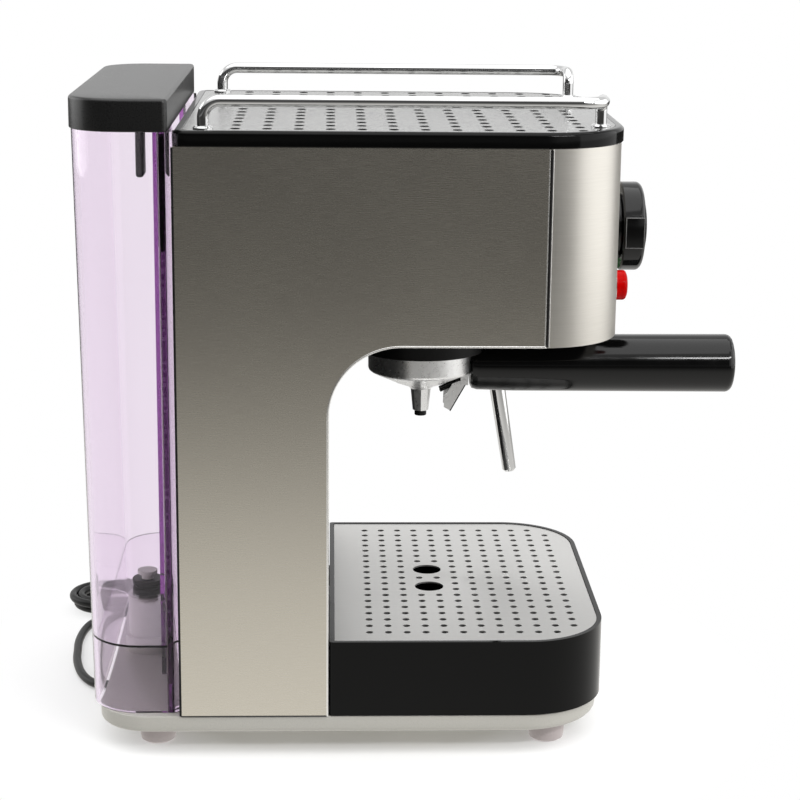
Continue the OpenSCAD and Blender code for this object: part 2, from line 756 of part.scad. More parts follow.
// Basket clip: a pressed channel that hangs from a pin below the ring, with a spring wire behind it.
module retainer_clip() {
  color([0.62, 0.62, 0.62]) translate([0, clip_y, clip_z]) {
    rod_x(clip_pin_r, -9, 18);
    rotate([clip_tilt, 0, 0]) {
      translate([-6, -1.6, -20]) cube([12, 1.6, 19.5]);
      for (x = [-6, 4.8]) translate([x, 0, 0]) rotate([90, 0, 90]) linear_extrude(1.2)
        polygon([[-1, 0], [1.4, -1], [5, -5.5], [5.6, -14], [2.5, -20], [-1, -20]]);
    }
    for (x = [-3, 3]) translate([x, 0.6, -0.4]) rotate([-115, 0, 0]) cylinder(r = 0.9, h = 15, $fn = soft);
  }
}

// ---------- drip tray ----------

module drip_tray() {
  inner_x = half_w - tray_wall;
  ledge = 3.2;
  color([0.05, 0.05, 0.05]) difference() {
    translate([0, 0, base_top + 0.3]) linear_extrude(grille_z - base_top + 0.1)
      plan(half_w, tray_front_y, tray_back_y, corner_r, 2);
    translate([0, 0, grille_z - grille_t]) linear_extrude(5)
      plan(inner_x, tray_front_y + tray_wall, tray_back_y - tray_wall, corner_r - tray_wall, 1);
    translate([0, 0, base_top + 3]) linear_extrude(60)
      plan(inner_x - ledge, tray_front_y + tray_wall + ledge, tray_back_y - tray_wall - ledge,
        corner_r - tray_wall - ledge, 2);
  }
}

function grille_hole(c, i) =
  !(c == grille_cols - 1 && (i == 0 || i == grille_rows - 1)) &&
  !((c == 3 || c == 4) && (i == 7 || i == 8 || i == 10 || i == 11));

module drip_grille() {
  margin = tray_wall + 0.3;
  color([0.74, 0.74, 0.74]) translate([0, 0, grille_z - grille_t]) linear_extrude(grille_t) difference() {
    plan(half_w - margin, tray_front_y + margin, tray_back_y - margin, corner_r - margin, 1);
    for (c = [0 : grille_cols - 1], i = [0 : grille_rows - 1]) if (grille_hole(c, i))
      translate([((grille_rows - 1) / 2 - i) * grille_pitch, grille_first_y - c * grille_pitch])
        circle(r = grille_hole_d / 2, $fn = 24);
    for (s = [-1, 1]) translate([s * 1.5 * grille_pitch, grille_first_y - 3.5 * grille_pitch])
      circle(r = finger_hole_r, $fn = fine);
  }
}

// ---------- water tank ----------

tank_x = half_w - 3;

module tank_form(d, z0, z1) {
  foot_y = 146;
  taper = 2.5;
  span = tank_top - base_top;
  intersection() {
    hull() {
      for (z = [z0, z1 - eps]) {
        k = (z - base_top) / span;
        posts(tank_x - taper + taper * k - d, tank_front + d, foot_y + (tank_reach - foot_y) * k - d,
          5 - min(d, 2.5), 28 - d, z, eps);
      }
    }
    translate([-body_w, tank_front + d, 0]) cube([2 * body_w, 100, 400]);
  }
}

module water_tank() {
  w = tank_wall;
  color([0.72, 0.58, 0.80, 0.45]) difference() {
    tank_form(0, base_top + 0.4, tank_top);
    difference() {
      tank_form(w, tank_floor_z + w, tank_top + 2);
      translate([-200, 90, 0]) cube([400, tank_front + 6.5 - 90, 400]);
      translate([-channel_x - w, 90, 0]) cube([2 * (channel_x + w), channel_y + w - 90, 400]);
    }
    translate([-tank_x + w + 2.5, tank_front - 1, 0]) cube([2 * (tank_x - w - 2.5), 5, 400]);
    translate([-channel_x, tank_front - 1, 0]) cube([2 * channel_x, channel_y - tank_front + 1, 400]);
    difference() {
      tank_form(w, base_top - 1, tank_floor_z);
      translate([-200, 90, 0]) cube([400, tank_front + 6.5 - 90, 60]);
      translate([-channel_x - w, 90, 0]) cube([2 * (channel_x + w), channel_y + w - 90, 60]);
    }
    translate([0, valve_y, tank_floor_z - 1]) cylinder(r = 7, h = 5, $fn = fine);
    translate([-17, channel_y - 1, base_top]) cube([34, 5, seat_top - base_top + 2]);
  }
}

module tank_valve() {
  color([0.12, 0.12, 0.14]) translate([0, valve_y, 0]) difference() {
    union() {
      translate([0, 0, 46]) cylinder(r = 9.4, h = tank_floor_z - 46, $fn = fine);
      translate([0, 0, tank_floor_z]) cylinder(r = 6.9, h = tank_wall, $fn = fine);
      translate([0, 0, tank_floor_z + tank_wall]) cylinder(r = 9.4, h = 3, $fn = fine);
    }
    translate([0, 0, 45]) cylinder(r = 3.6, h = 30, $fn = fine);
  }
}

module valve_plunger() {
  color([0.75, 0.75, 0.72]) translate([0, valve_y, 0]) {
    translate([0, 0, 50.2]) cylinder(r = 3.54, h = 20, $fn = fine);
    translate([0, 0, tank_floor_z + tank_wall + 3 + valve_lift]) cylinder(r = 6, h = 2, $fn = fine);
  }
}

module tank_lid() {
  x = half_w - 0.3;
  front = rear_y + 2.5;
  rear = tank_reach + 0.5;
  roof = 2.4;
  edge = 3;
  color([0.06, 0.06, 0.06]) {
    difference() {
      union() {
        translate([0, 0, lid_z]) linear_extrude(lid_top - edge - lid_z) plan(x, front, rear, 3, 26);
        intersection() {
          hull() {
            posts(x - 0.5, front + 0.5, rear - 0.5, 3, 25.5, lid_top - edge - 0.5, 1.5);
            posts(x - 2, front + 2, rear - 2, 3, 24, lid_top - 1.5, 1.5);
          }
          translate([-body_w, front + 0.8, 0]) cube([2 * body_w, 100, 400]);
        }
      }
      translate([0, 0, lid_z - 1]) linear_extrude(lid_top - edge - roof - lid_z + 1)
        plan(x - 2.2, front + 2.2, rear - 2.2, 1.5, 23.8);
    }
    for (s = [-1, 1])
      translate([s * 66 - 8, 111, lid_z - 22]) cube([16, 4, lid_top - edge - lid_z + 21]);
  }
}

module hose_clip() {
  color([0.06, 0.06, 0.06]) difference() {
    union() {
      translate([hose_x - 7, rear_y - 2.5, 284]) cube([14, hose_y - rear_y + 6.5, 52]);
      translate([hose_x, hose_y, 272]) cylinder(r = 4, h = 12, $fn = fine);
    }
    translate([hose_x, hose_y, 271]) cylinder(r = 2.6, h = 40, $fn = fine);
  }
}

module return_hose() {
  color([0.86, 0.84, 0.88, 0.7]) {
    translate([hose_x, hose_y, 54]) cylinder(r = 2.5, h = 244, $fn = fine);
    translate([hose_x, hose_y - 10, 54]) rotate([0, 90, 0]) bend(2.5, 10, 90);
    translate([hose_x, 0, 44]) rod_y(2.5, 86, hose_y - 10 - 86);
  }
}

// ---------- steam ----------

module steam_knob() {
  r = 17;
  color([0.05, 0.05, 0.05]) translate([0, steam_y, steam_z]) union() {
    difference() {
      union() {
        rod_x(r, half_w + 1.2, 13);
        rod_x(r, half_w + 14.2, 2, r - 2);
      }
      for (a = [0 : 30 : 330]) rotate([a, 0, 0]) translate([0, r + 1.2, 0]) rod_x(2.6, half_w, 20);
    }
    rod_x(steam_shaft_r, wand_x + 3, half_w + 2 - wand_x - 3);
  }
}

module wand_frame() {
  translate([wand_x, wand_y, ball_z + 7]) rotate([-wand_tilt, 0, 0]) children();
}

module steam_wand() {
  color([0.80, 0.80, 0.81]) wand_frame() difference() {
    union() {
      sphere(r = 6, $fn = 48);
      translate([0, 0, -118]) cylinder(r = 2.6, h = 116, $fn = fine);
      translate([0, 0, -70]) cylinder(r = 4.2, h = 4, $fn = fine);
    }
    translate([0, 0, -119]) cylinder(r = 1.4, h = 112, $fn = fine);
  }
}

module wand_sleeve() {
  color([0.80, 0.80, 0.81]) wand_frame() difference() {
    union() {
      translate([0, 0, -128.5]) cylinder(r1 = 4.3, r2 = 5, h = 58.5, $fn = fine);
      translate([0, 0, -130]) cylinder(r1 = 3, r2 = 4.3, h = 1.5, $fn = fine);
    }
    translate([0, 0, -120]) cylinder(r = 2.6, h = 60, $fn = fine);
    translate([0, 0, -131]) cylinder(r = 1, h = 20, $fn = fine);
  }
}

// ---------- mains cord ----------

module strain_relief() {
  color([0.07, 0.07, 0.07]) translate([relief_x, 0, relief_z]) {
    translate([-8, relief_y - 10, -4.8]) cube([16, 10, base_top - 3 - relief_z + 4.8]);
    rod_y(4.6, relief_y, 2);
    rod_y(4.6, relief_y + 2, relief_len - 2, cord_r + 0.4);
  }
}

module cord() {
  color([0.07, 0.07, 0.07]) tube(cord_points, cord_r, 3, 8);
}

module hank_outline(d) {
  translate([hank_x, hank_y]) union() {
    translate([-hank_r + d, -hank_run / 2]) square([2 * (hank_r - d), hank_run]);
    for (s = [-1, 1]) translate([0, s * hank_run / 2]) circle(r = hank_r - d, $fn = fine);
  }
}

module cord_hank() {
  color([0.08, 0.08, 0.08]) difference() {
    linear_extrude(hank_h) hank_outline(0);
    translate([0, hank_y - 3, -1]) difference() {
      cube([400, 6, 40]);
      translate([hank_x - hank_r + 1, -1, 2]) cube([2 * hank_r - 2, 8, hank_h - 2]);
    }
  }
}

module cord_tie() {
  color([0.12, 0.12, 0.12]) translate([hank_x - hank_r, hank_y - 3, 0]) difference() {
    cube([2 * hank_r, 6, hank_h]);
    translate([1, -1, 1]) cube([2 * hank_r - 2, 8, hank_h - 2]);
  }
}

module cord_lead() {
  color([0.07, 0.07, 0.07]) tube(lead_points, cord_r, 3, 8);
}

module plug_body() {
  color([0.07, 0.07, 0.07]) translate([plug_x, plug_y, plug_z]) rotate([90, 0, 0]) rotate_extrude($fn = fine)
    polygon([
      [0, 0], [3.2, 0], [5.5, 14], [9, 19], [13.5, 25], [15, 36], [16, 42],
      [plug_r, 43], [plug_r, 48], [0, 48]
    ]);
}

module plug_pins() {
  color("silver") for (s = [-1, 1]) translate([plug_x + s * 9.5, plug_y, plug_z]) rotate([90, 0, 0]) {
    translate([0, 0, 48]) cylinder(r = 2.4, h = 17, $fn = fine);
    translate([0, 0, 65]) cylinder(r1 = 2.4, r2 = 1.4, h = 2, $fn = fine);
  }
}

base_plate();
feet();
inner_frame();
column_front();
head_underside();
side_panel_left();
side_panel_right();
front_panel();
rear_cover();
top_cap();
cup_plate();
rail_left();
rail_right();
rail_flanges();
base_screws();
group_collar();
group_head();
group_gasket();
shower_screen();
screen_screw();
boiler_top();
boiler_bolts();
heating_element();
thermostats();
pump();
pump_mounts();
suction_hose();
pressure_hose();
tank_seat();
steam_valve();
selector_switch();
power_switch();
dial_boss();
button_bezels();
ready_lamp();
hose_clip();
return_hose();
portafilter();
filter_basket();
coffee_spout();
handle_grip();
retainer_clip();
drip_tray();
drip_grille();
water_tank();
tank_valve();
valve_plunger();
tank_lid();
selector_knob();
power_button();
steam_knob();
steam_wand();
wand_sleeve();
strain_relief();
cord();
cord_hank();
cord_lead();
cord_tie();
plug_body();
plug_pins();
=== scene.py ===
"""Espresso machine: materials, mains cord, fine trim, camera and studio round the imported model.

Metres, in the frame of the CAD model: +Z up, the machine's front faces -Y.
"""

import math

import bmesh
import bpy
from mathutils import Matrix, Vector


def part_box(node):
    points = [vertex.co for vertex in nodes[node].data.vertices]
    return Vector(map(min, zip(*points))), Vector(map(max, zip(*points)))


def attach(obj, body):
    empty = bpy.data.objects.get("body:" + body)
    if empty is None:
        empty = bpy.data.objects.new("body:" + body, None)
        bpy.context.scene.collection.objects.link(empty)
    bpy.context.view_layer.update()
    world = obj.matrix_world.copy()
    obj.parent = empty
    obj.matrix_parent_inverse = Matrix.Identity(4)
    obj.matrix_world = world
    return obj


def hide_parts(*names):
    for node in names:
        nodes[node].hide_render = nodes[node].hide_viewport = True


MM = 0.001

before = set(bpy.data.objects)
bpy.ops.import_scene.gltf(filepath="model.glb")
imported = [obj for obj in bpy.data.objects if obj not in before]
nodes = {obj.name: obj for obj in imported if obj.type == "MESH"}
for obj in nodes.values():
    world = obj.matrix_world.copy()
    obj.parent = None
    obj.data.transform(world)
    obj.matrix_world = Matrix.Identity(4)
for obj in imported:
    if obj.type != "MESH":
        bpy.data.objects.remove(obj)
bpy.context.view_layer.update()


# ---------- camera ----------

CAMERA_AT = Vector((-1.1905, 0.0130, 0.4692))
LENS_MM = 93.69
SENSOR_MM = 36
SHIFT = (-0.01326, -0.0021)
YAW, PITCH, ROLL = (math.radians(a) for a in (2.2675, 13.7744, 0.6427))


def add_camera():
    """A long lens on the machine's left side, turned a little and rolled a little."""
    forward = Vector((
        math.cos(PITCH) * math.cos(YAW),
        -math.cos(PITCH) * math.sin(YAW),
        -math.sin(PITCH),
    ))
    level_right = Vector((-math.sin(YAW), -math.cos(YAW), 0))
    level_up = level_right.cross(forward)
    right = level_right * math.cos(ROLL) + level_up * math.sin(ROLL)
    up = right.cross(forward)
    data = bpy.data.cameras.new("camera")
    data.lens = LENS_MM
    data.sensor_width = SENSOR_MM
    data.shift_x, data.shift_y = SHIFT
    data.clip_end = 30
    camera = bpy.data.objects.new("camera", data)
    turn = Matrix((right, up, -forward)).transposed().to_4x4()
    camera.matrix_world = Matrix.Translation(CAMERA_AT) @ turn
    bpy.context.scene.collection.objects.link(camera)
    bpy.context.scene.camera = camera


add_camera()


# ---------- node helpers ----------

# A colour Mix node's sockets: its float and vector sockets have the same names.
MIX_A, MIX_B, MIX_OUT = 6, 7, 2


def add_node(tree, kind, **values):
    node = tree.nodes.new(kind)
    for key, value in values.items():
        setattr(node, key, value)
    return node


def share_between(tree, value, start, end):
    """Goes from 0 to 1 as value goes from start to end."""
    node = add_node(tree, "ShaderNodeMapRange")
    node.inputs["From Min"].default_value = start
    node.inputs["From Max"].default_value = end
    tree.links.new(value, node.inputs["Value"])
    return node.outputs["Result"]


def level_ramp(tree, fac, stops, hue=(1, 1, 1)):
    """A ramp through (position, level) pairs, each level multiplied by hue."""
    ramp = add_node(tree, "ShaderNodeValToRGB")
    for at, _ in stops[2:]:
        ramp.color_ramp.elements.new(at)
    for element, (at, level) in zip(ramp.color_ramp.elements, stops):
        element.position = at
        element.color = (*(level * part for part in hue), 1)
    tree.links.new(fac, ramp.inputs["Fac"])
    return ramp.outputs["Color"]


# Blender's noise keeps mostly to this range.
NOISE_LOW, NOISE_HIGH = 0.3, 0.7


class Paint:
    """A node-based material with its Principled shader and the object's own coordinates."""

    def __init__(self, name, colour, rough=0.5, metal=0.0, **sockets):
        self.mat = bpy.data.materials.new(name)
        self.mat.use_nodes = True
        self.tree = self.mat.node_tree
        self.shader = self.tree.nodes["Principled BSDF"]
        self.set("Base Color", (*colour, 1))
        self.set("Roughness", rough)
        self.set("Metallic", metal)
        for socket, value in sockets.items():
            self.set(socket.replace("_", " "), value)
        self.place = self.add("ShaderNodeTexCoord").outputs["Object"]

    def add(self, kind, **values):
        return add_node(self.tree, kind, **values)

    def set(self, socket, value):
        self.shader.inputs[socket].default_value = value

    def link(self, a, b):
        self.tree.links.new(a, b)

    def noise(self, scale, stretch=(1, 1, 1), detail=4.0, rough=0.55):
        """Noise of so many cells a metre, stretched by scaling each axis."""
        mapping = self.add("ShaderNodeMapping")
        mapping.inputs["Scale"].default_value = stretch
        noise = self.add("ShaderNodeTexNoise")
        noise.inputs["Scale"].default_value = scale
        noise.inputs["Detail"].default_value = detail
        noise.inputs["Roughness"].default_value = rough
        self.link(self.place, mapping.inputs["Vector"])
        self.link(mapping.outputs["Vector"], noise.inputs["Vector"])
        return noise.outputs["Fac"]

    def spread(self, fac, low, high):
        """Maps a noise onto a range."""
        node = self.add("ShaderNodeMapRange")
        node.inputs["From Min"].default_value = NOISE_LOW
        node.inputs["From Max"].default_value = NOISE_HIGH
        node.inputs["To Min"].default_value = low
        node.inputs["To Max"].default_value = high
        self.link(fac, node.inputs["Value"])
        return node.outputs["Result"]

    def roughen(self, fac, low, high):
        self.link(self.spread(fac, low, high), self.shader.inputs["Roughness"])

    def tint(self, fac, dark, light):
        ramp = self.add("ShaderNodeValToRGB")
        ramp.color_ramp.elements[0].position = NOISE_LOW
        ramp.color_ramp.elements[1].position = NOISE_HIGH
        ramp.color_ramp.elements[0].color = (*dark, 1)
        ramp.color_ramp.elements[1].color = (*light, 1)
        self.link(fac, ramp.inputs["Fac"])
        self.link(ramp.outputs["Color"], self.shader.inputs["Base Color"])

    def bump(self, fac, strength, distance):
        node = self.add("ShaderNodeBump")
        node.inputs["Strength"].default_value = strength
        node.inputs["Distance"].default_value = distance
        self.link(fac, node.inputs["Height"])
        self.link(node.outputs["Normal"], self.shader.inputs["Normal"])


# ---------- materials ----------

def steel(name, stretch, dark, light, rough, anisotropy=0.5):
    """Brushed stainless sheet with faint handling marks.

    The scratches run across the axis that has the large stretch.
    """
    paint = Paint(name, light, rough=rough, metal=1.0, Anisotropic=anisotropy)
    lines = paint.noise(1.0, stretch, detail=7, rough=0.7)
    marks = paint.noise(11.0, detail=3)
    line_share = 0.7
    mix = paint.add("ShaderNodeMath", operation="MULTIPLY_ADD")
    mix.inputs[1].default_value = line_share
    paint.link(lines, mix.inputs[0])
    share = paint.add("ShaderNodeMath", operation="MULTIPLY")
    share.inputs[1].default_value = 1 - line_share
    paint.link(marks, share.inputs[0])
    paint.link(share.outputs[0], mix.inputs[2])
    paint.roughen(mix.outputs[0], rough - 0.03, rough + 0.04)
    paint.tint(lines, dark, light)
    paint.bump(lines, 0.03, 0.0001)
    return paint.mat


def chrome():
    paint = Paint("chrome", (0.70, 0.70, 0.70), rough=0.05, metal=1.0)
    paint.roughen(paint.noise(240, detail=3), 0.03, 0.09)
    return paint.mat


def polished_plate():
    """Polished steel with the fine pebble of a stamped sheet."""
    paint = Paint("polished_plate", (0.32, 0.32, 0.31), rough=0.14, metal=1.0)
    pebble = paint.noise(420, detail=3)
    paint.roughen(pebble, 0.10, 0.2)
    paint.tint(pebble, (0.15, 0.15, 0.145), (0.40, 0.40, 0.39))
    paint.bump(pebble, 0.4, 0.0005)
    return paint.mat


def cast_aluminium(name, grey, rough):
    paint = Paint(name, (grey, grey, grey * 0.99), rough=rough, metal=1.0)
    grain = paint.noise(520, detail=4)
    paint.roughen(grain, rough - 0.05, rough + 0.07)
    paint.tint(grain, (grey * 0.92,) * 3, (grey,) * 3)
    paint.bump(grain, 0.05, 0.0002)
    return paint.mat


def gloss_black(name="gloss_black", specular=0.34):
    paint = Paint(name, (0.002, 0.002, 0.002), rough=0.1)
    paint.set("Specular IOR Level", specular)
    film = paint.noise(60, detail=3)
    paint.roughen(film, 0.06, 0.15)
    paint.bump(paint.noise(30, detail=1), 0.02, 0.0006)
    return paint.mat


def satin_black(name="satin_black", level=0.005, rough=0.42, specular=0.18):
    paint = Paint(name, (level, level, level), rough=rough)
    paint.set("Specular IOR Level", specular)
    grain = paint.noise(1600, detail=3)
    paint.roughen(grain, rough - 0.06, rough + 0.1)
    paint.tint(grain, (level * 0.8,) * 3, (level * 1.3,) * 3)
    paint.bump(grain, 0.12, 0.0002)
    return paint.mat


def moulded(name, colour, rough, grain_scale=1300, depth=0.1):
    paint = Paint(name, colour, rough=rough)
    grain = paint.noise(grain_scale, detail=3)
    paint.roughen(grain, rough - 0.06, rough + 0.08)
    paint.tint(grain, tuple(c * 0.92 for c in colour), colour)
    paint.bump(grain, depth, 0.0002)
    return paint.mat


def tank_plastic():
    """Clear purple plastic: faint where it is looked at flat, deep purple where a wall is seen edge on."""
    paint = Paint("tank_plastic", (0.98, 0.96, 0.98), rough=0.02, IOR=1.36)
    paint.set("Transmission Weight", 1.0)
    flow = paint.noise(9, (1, 1, 0.35), detail=2)
    paint.tint(flow, (0.955, 0.93, 0.96), (0.985, 0.97, 0.985))
    paint.bump(flow, 0.06, 0.002)
    dye = paint.add("ShaderNodeVolumeAbsorption")
    dye.inputs["Color"].default_value = (0.55, 0.12, 0.61, 1)
    dye.inputs["Density"].default_value = 34
    paint.link(dye.outputs["Volume"], paint.tree.nodes["Material Output"].inputs["Volume"])
    return paint.mat


def hose_silicone():
    paint = Paint("hose_silicone", (0.82, 0.78, 0.84), rough=0.25, IOR=1.4)
    paint.set("Transmission Weight", 0.6)
    paint.roughen(paint.noise(300, detail=2), 0.18, 0.34)
    return paint.mat


def red_button():
    paint = Paint("red_button", (0.45, 0.001, 0.001), rough=0.14)
    paint.set("Specular IOR Level", 0.05)
    paint.roughen(paint.noise(200, detail=2), 0.1, 0.2)
    paint.tint(paint.noise(120, detail=2), (0.36, 0.0005, 0.0005), (0.46, 0.001, 0.001))
    return paint.mat


def cord_jacket():
    paint = Paint("cord_jacket", (0.005, 0.005, 0.005), rough=0.36)
    paint.set("Specular IOR Level", 0.25)
    grain = paint.noise(2200, detail=2)
    paint.roughen(grain, 0.3, 0.46)
    paint.bump(grain, 0.1, 0.0001)
    return paint.mat


side_steel = steel("side_steel", (90, 90, 3000), (0.595, 0.56, 0.49), (0.645, 0.61, 0.535), 0.26)
front_steel = steel("front_steel", (50, 50, 2600), (0.64, 0.615, 0.565), (0.70, 0.675, 0.625), 0.34)
grille_steel = steel("grille_steel", (2600, 30, 30), (0.64, 0.635, 0.62), (0.73, 0.725, 0.71), 0.42, 0.3)
# Lighter than the panel steel: paints the highlight along the folded edges.
fold_highlight_steel = steel("fold_highlight_steel", (200, 200, 200), (0.80, 0.79, 0.77), (0.9, 0.89, 0.87), 0.25, 0.0)

# A lighter grey for the wire loops round the dial's grips: a painted highlight on the grips' edges.
grip_highlight_grey = moulded("grip_highlight_grey", (0.12, 0.12, 0.12), 0.3)

FINISH = {
    side_steel: ["side_panel_left", "side_panel_right"],
    front_steel: ["front_panel"],
    grille_steel: ["drip_grille"],
    polished_plate(): ["cup_plate", "filter_basket", "shower_screen", "screen_screw"],
    chrome(): [
        "rail_left", "rail_right", "rail_flanges", "button_bezels", "steam_wand", "wand_sleeve",
        "plug_pins",
    ],
    cast_aluminium("cast_aluminium", 0.9, 0.3): ["portafilter", "coffee_spout", "retainer_clip"],
    cast_aluminium("boiler_casting", 0.62, 0.45): ["group_head", "boiler_top"],
    gloss_black(): ["dial_boss", "handle_grip", "selector_knob", "steam_knob"],
    gloss_black("tray_black", 0.15): ["top_cap", "drip_tray"],
    satin_black(): [
        "column_front", "head_underside", "rear_cover", "group_collar", "power_switch", "hose_clip",
        "tank_valve",
    ],
    satin_black("lid_black", 0.004, 0.3, 0.5): ["tank_lid"],
    moulded("silver_plastic", (0.45, 0.44, 0.405), 0.3, 2200): ["base_plate", "tank_seat"],
    moulded("foot_rubber", (0.44, 0.39, 0.39), 0.4): ["feet"],
    moulded("gasket_rubber", (0.03, 0.03, 0.03), 0.7): ["group_gasket", "pump_mounts"],
    tank_plastic(): ["water_tank"],
    hose_silicone(): ["suction_hose", "pressure_hose", "return_hose"],
    red_button(): ["power_button"],
    moulded("green_lens", (0.03, 0.22, 0.05), 0.2): ["ready_lamp"],
    moulded("white_plastic", (0.68, 0.67, 0.63), 0.4): ["selector_switch", "thermostats", "valve_plunger"],
    cast_aluminium("galvanised", 0.5, 0.5): [
        "inner_frame", "base_screws", "boiler_bolts", "heating_element", "pump",
    ],
    cast_aluminium("brass", 0.5, 0.3): ["steam_valve"],
    cord_jacket(): ["strain_relief", "cord", "cord_hank", "cord_lead", "plug_body"],
    satin_black("tie_nylon", 0.02, 0.6): ["cord_tie"],
}


def dress(obj, mat):
    obj.data.materials.clear()
    obj.data.materials.append(mat)


for finish, members in FINISH.items():
    for member in members:
        dress(nodes[member], finish)


def finish_of(member):
    return nodes[member].data.materials[0]


# ---------- curves ----------

def wire(name, points, radius, mat, body, cyclic=False):
    """A round wire along points, riding on a body."""
    data = bpy.data.curves.new(name, "CURVE")
    data.dimensions = "3D"
    data.bevel_depth = radius
    data.bevel_resolution = 5
    data.use_fill_caps = True
    spline = data.splines.new("POLY")
    spline.points.add(len(points) - 1)
    for target, point in zip(spline.points, points):
        target.co = (*point, 1)
    spline.use_cyclic_u = cyclic
    spline.use_smooth = True
    obj = bpy.data.objects.new(name, data)
    bpy.context.scene.collection.objects.link(obj)
    data.materials.append(mat)
    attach(obj, body)
    return obj


def smooth_route(points, steps):
    """The CAD model's own curve through its points: Catmull-Rom, ends doubled."""
    ends = [points[0], *points, points[-1]]
    out = []
    for a, b, c, d in zip(ends, ends[1:], ends[2:], ends[3:]):
        for k in range(steps):
            t = k / steps
            out.append(0.5 * (
                2 * b + (c - a) * t + (2 * a - 5 * b + 4 * c - d) * t**2
                + (3 * b - a - 3 * c + d) * t**3
            ))
    return [*out, points[-1]]


# ---------- mesh helpers ----------

# An edge sharper than this shows as an edge.
SMOOTH_UP_TO = math.radians(38)


class Shape:
    """A mesh gathered from lofts, turned pieces and blocks, in millimetres."""

    def __init__(self):
        self.bm = bmesh.new()

    def loft(self, rings, closed=False):
        """Quads between rings of equal length; the ends are capped, or joined up when closed."""
        rows = [[self.bm.verts.new(Vector(p) * MM) for p in ring] for ring in rings]
        pairs = list(zip(rows, rows[1:]))
        if closed:
            pairs.append((rows[-1], rows[0]))
        for a, b in pairs:
            for k in range(len(a)):
                n = (k + 1) % len(a)
                self.bm.faces.new((a[k], a[n], b[n], b[k]))
        if not closed:
            self.bm.faces.new(rows[0][::-1])
            self.bm.faces.new(rows[-1])

    def turned(self, profile, centre, axis=(0, 0, 1), steps=64, closed=False):
        """(radius, height) pairs turned round an axis through centre."""
        spin = Vector((0, 0, 1)).rotation_difference(Vector(axis)).to_matrix()
        rings = []
        for radius, height in profile:
            ring = []
            for k in range(steps):
                a = 2 * math.pi * k / steps
                local = Vector((radius * math.cos(a), radius * math.sin(a), height))
                ring.append(Vector(centre) + spin @ local)
            rings.append(ring)
        self.loft(rings, closed)

    def block(self, low, high, bevel, turn=None):
        """A block with rounded edges, turned by a matrix when one is given.

        A shape's blocks come last: faces made after a bevel land in an order that varies by run.
        """
        low, high = Vector(low), Vector(high)
        made = bmesh.ops.create_cube(self.bm, size=1)["verts"]
        for vert in made:
            vert.co = Vector(
                (lo + hi) / 2 + c * (hi - lo) for c, lo, hi in zip(vert.co, low, high)
            ) * MM
        edges = list({edge for vert in made for edge in vert.link_edges})
        rounded = bmesh.ops.bevel(
            self.bm, geom=edges, offset=bevel * MM, segments=3, profile=0.5, affect="EDGES",
        )
        if turn:
            bmesh.ops.transform(
                self.bm, matrix=turn,
                verts=list({v for face in rounded["faces"] for v in face.verts}),
            )

    def done(self, name, mat, body, replaced=()):
        """Ends the mesh: smooth but for its real edges, dressed, and on its body."""
        bmesh.ops.recalc_face_normals(self.bm, faces=self.bm.faces)
        mesh = bpy.data.meshes.new(name)
        self.bm.to_mesh(mesh)
        self.bm.free()
        mesh.materials.append(mat)
        mesh.polygons.foreach_set("use_smooth", [True] * len(mesh.polygons))
        mesh.set_sharp_from_angle(angle=SMOOTH_UP_TO)
        obj = bpy.data.objects.new(name, mesh)
        bpy.context.scene.collection.objects.link(obj)
        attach(obj, body)
        if replaced:
            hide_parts(*replaced)
        return obj


def plan_ring(size, inset, z, steps=12):
    """A level outline with rounded corners, anticlockwise from the front left, drawn in by inset.

    size is the half width, the front and rear, and the radius of the front and of the rear corners.
    """
    x, front, rear, r_front, r_rear = size
    corners = ((-1, 1, r_front, 180), (1, 1, r_front, 270), (1, -1, r_rear, 0), (-1, -1, r_rear, 90))
    ring = []
    for sx, sy, radius, start in corners:
        r = max(radius - inset, 0.4)
        cx = sx * (x - inset - r)
        cy = front + inset + r if sy > 0 else rear - inset - r
        for k in range(steps + 1):
            a = math.radians(start + 90 * k / steps)
            ring.append((cx + r * math.cos(a), cy + r * math.sin(a), z))
    return ring


def round_over(r, top, steps=5):
    """(inset, z) pairs of a quarter round of radius r that ends a wall at its top."""
    angles = [math.radians(90 * k / steps) for k in range(steps + 1)]
    return [(r * (1 - math.cos(a)), top - r + r * math.sin(a)) for a in angles]


def round_under(r, low, steps=5):
    """(inset, z) pairs of the same quarter round at the foot of a wall, from below."""
    return [(inset, 2 * low - z) for inset, z in reversed(round_over(r, low, steps))]


def span_mm(member):
    """A node's lowest and highest corner in millimetres."""
    low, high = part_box(member)
    return Vector(low) / MM, Vector(high) / MM


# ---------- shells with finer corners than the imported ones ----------

def make_tank_lid():
    """A cover with a rounded edge, a slightly crowned top and two hooks that hang in the tank."""
    low, high = span_mm("tank_lid")
    rim = span_mm("water_tank")[1].z + 0.3
    size = (high.x, low.y, high.y, 3, 26)
    under = high.z - 5.4
    hook_x, hook_half, hook_front, hook_back, hook_drop = 66, 8, 113.2, 117.6, 28.5
    profile = [
        (2.2, under), (2.2, rim), (0.4, rim), (0, rim + 0.4), *round_over(1.8, high.z - 0.6),
        (6, high.z - 0.3), (12, high.z - 0.08), (17, high.z),
    ]
    shape = Shape()
    shape.loft([plan_ring(size, inset, z) for inset, z in profile])
    for side in (-1, 1):
        x = side * hook_x
        shape.block(
            (x - hook_half, hook_front, rim - hook_drop), (x + hook_half, hook_back, under + 0.8), 1.6,
        )
    shape.done("tank_lid_shell", finish_of("tank_lid"), "lid", ["tank_lid"])


